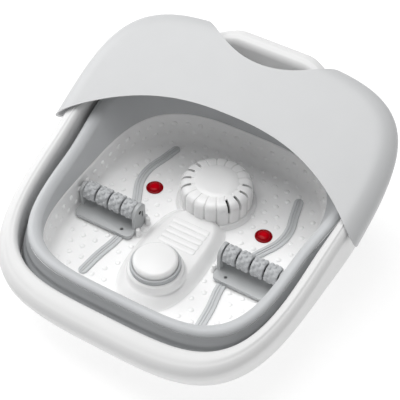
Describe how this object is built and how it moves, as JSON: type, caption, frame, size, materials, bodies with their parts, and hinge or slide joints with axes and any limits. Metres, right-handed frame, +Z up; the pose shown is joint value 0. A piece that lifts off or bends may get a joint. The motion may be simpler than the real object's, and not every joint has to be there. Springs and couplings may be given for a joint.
{
  "type": "foot spa basin",
  "caption": "Folding foot spa basin with a lift-up rim and soft collar, splash guard, massage rollers, filter cap, function button and red infrared lenses.",
  "frame": {"origin": "on the ground under the middle of the basin, below the centre of its plan outline", "axes": "+Z up; +Y towards the carry handle, away from the user; +X to the user's right-hand foot well"},
  "size_m": [0.3954, 0.407, 0.1963],
  "materials": {
    "white_shell": "gloss white moulding",
    "cool_grey_shell": "satin light grey moulding",
    "soft_collar": "matt soft grey elastomer",
    "roller_grey": "satin grey moulding",
    "strip_grey": "satin grey moulding",
    "grey_seal": "matt grey elastomer",
    "red_lens": "deep red clear plastic over a lamp",
    "black_rubber": "matt",
    "dark_plastic": "matt",
    "circuit_board": "green laminate",
    "steel": "plain steel"
  },
  "bodies": {
    "base": {"massage_tub": "white_shell", "bottom_housing": "white_shell", "rubber_foot_1": "black_rubber", "rubber_foot_2": "black_rubber", "rubber_foot_3": "black_rubber", "rubber_foot_4": "black_rubber", "heating_plate": "steel", "air_pump": "dark_plastic", "control_board": "circuit_board", "power_inlet": "dark_plastic", "collar_band": "soft_collar", "rest_lug_1": "white_shell", "rest_lug_2": "white_shell", "rest_lug_3": "white_shell", "rest_lug_4": "white_shell", "console_ridge": "white_shell", "filter_plinth": "white_shell", "filter_basket": "dark_plastic", "button_pedestal": "white_shell", "button_seal": "grey_seal", "button_switch": "dark_plastic", "bubble_strip_left": "strip_grey", "infrared_lens_left": "red_lens", "infrared_led_left": "red_lens", "roller_bracket_left": "roller_grey", "roller_axle_left": "steel", "bracket_stud_left_1": "white_shell", "bracket_stud_left_2": "white_shell", "bubble_strip_right": "strip_grey", "infrared_lens_right": "red_lens", "infrared_led_right": "red_lens", "roller_bracket_right": "roller_grey", "roller_axle_right": "steel", "bracket_stud_right_1": "white_shell", "bracket_stud_right_2": "white_shell"},
    "rim": {"rim_frame": "white_shell", "collar_clamp": "white_shell", "clamp_screw_1": "steel", "clamp_screw_2": "steel", "clamp_screw_3": "steel", "clamp_screw_4": "steel", "collar_leg": "soft_collar"},
    "guard": {"splash_guard": "cool_grey_shell", "guard_rib_1": "cool_grey_shell", "guard_rib_2": "cool_grey_shell", "guard_rib_3": "cool_grey_shell", "guard_rib_4": "cool_grey_shell"},
    "cap": {"filter_cap": "white_shell"},
    "button": {"function_button": "white_shell"},
    "roller_l1": {"roller_left_1": "roller_grey"},
    "roller_l2": {"roller_left_2": "roller_grey"},
    "roller_l3": {"roller_left_3": "roller_grey"},
    "roller_l4": {"roller_left_4": "roller_grey"},
    "roller_r1": {"roller_right_1": "roller_grey"},
    "roller_r2": {"roller_right_2": "roller_grey"},
    "roller_r3": {"roller_right_3": "roller_grey"},
    "roller_r4": {"roller_right_4": "roller_grey"}
  },
  "joints": [
    {"name": "rim_lift", "type": "slide", "parent": "base", "child": "rim", "axis": [0, 0, 1], "range_m": [0, 0.08], "deforming": ["collar_leg"]},
    {"name": "guard_lift", "type": "slide", "parent": "rim", "child": "guard", "axis": [0, 0, 1], "range_m": [0, 0.02]},
    {"name": "cap_lift", "type": "slide", "parent": "base", "child": "cap", "axis": [0, 0, 1], "range_m": [0, 0.03]},
    {"name": "button_press", "type": "slide", "parent": "base", "child": "button", "axis": [0, 0, -1], "range_m": [0, 0.003], "stiffness_N_per_m": 400, "springref_m": -0.002},
    {"name": "roller_left_1_spin", "type": "hinge", "parent": "base", "child": "roller_l1", "pos_m": [-0.06845, -0.022, 0.067], "axis": [1, 0, 0], "continuous": true},
    {"name": "roller_left_2_spin", "type": "hinge", "parent": "base", "child": "roller_l2", "pos_m": [-0.08605, -0.022, 0.067], "axis": [1, 0, 0], "continuous": true},
    {"name": "roller_left_3_spin", "type": "hinge", "parent": "base", "child": "roller_l3", "pos_m": [-0.10365, -0.022, 0.067], "axis": [1, 0, 0], "continuous": true},
    {"name": "roller_left_4_spin", "type": "hinge", "parent": "base", "child": "roller_l4", "pos_m": [-0.12125, -0.022, 0.067], "axis": [1, 0, 0], "continuous": true},
    {"name": "roller_right_1_spin", "type": "hinge", "parent": "base", "child": "roller_r1", "pos_m": [0.06845, -0.022, 0.067], "axis": [1, 0, 0], "continuous": true},
    {"name": "roller_right_2_spin", "type": "hinge", "parent": "base", "child": "roller_r2", "pos_m": [0.08605, -0.022, 0.067], "axis": [1, 0, 0], "continuous": true},
    {"name": "roller_right_3_spin", "type": "hinge", "parent": "base", "child": "roller_r3", "pos_m": [0.10365, -0.022, 0.067], "axis": [1, 0, 0], "continuous": true},
    {"name": "roller_right_4_spin", "type": "hinge", "parent": "base", "child": "roller_r4", "pos_m": [0.12125, -0.022, 0.067], "axis": [1, 0, 0], "continuous": true}
  ]
}
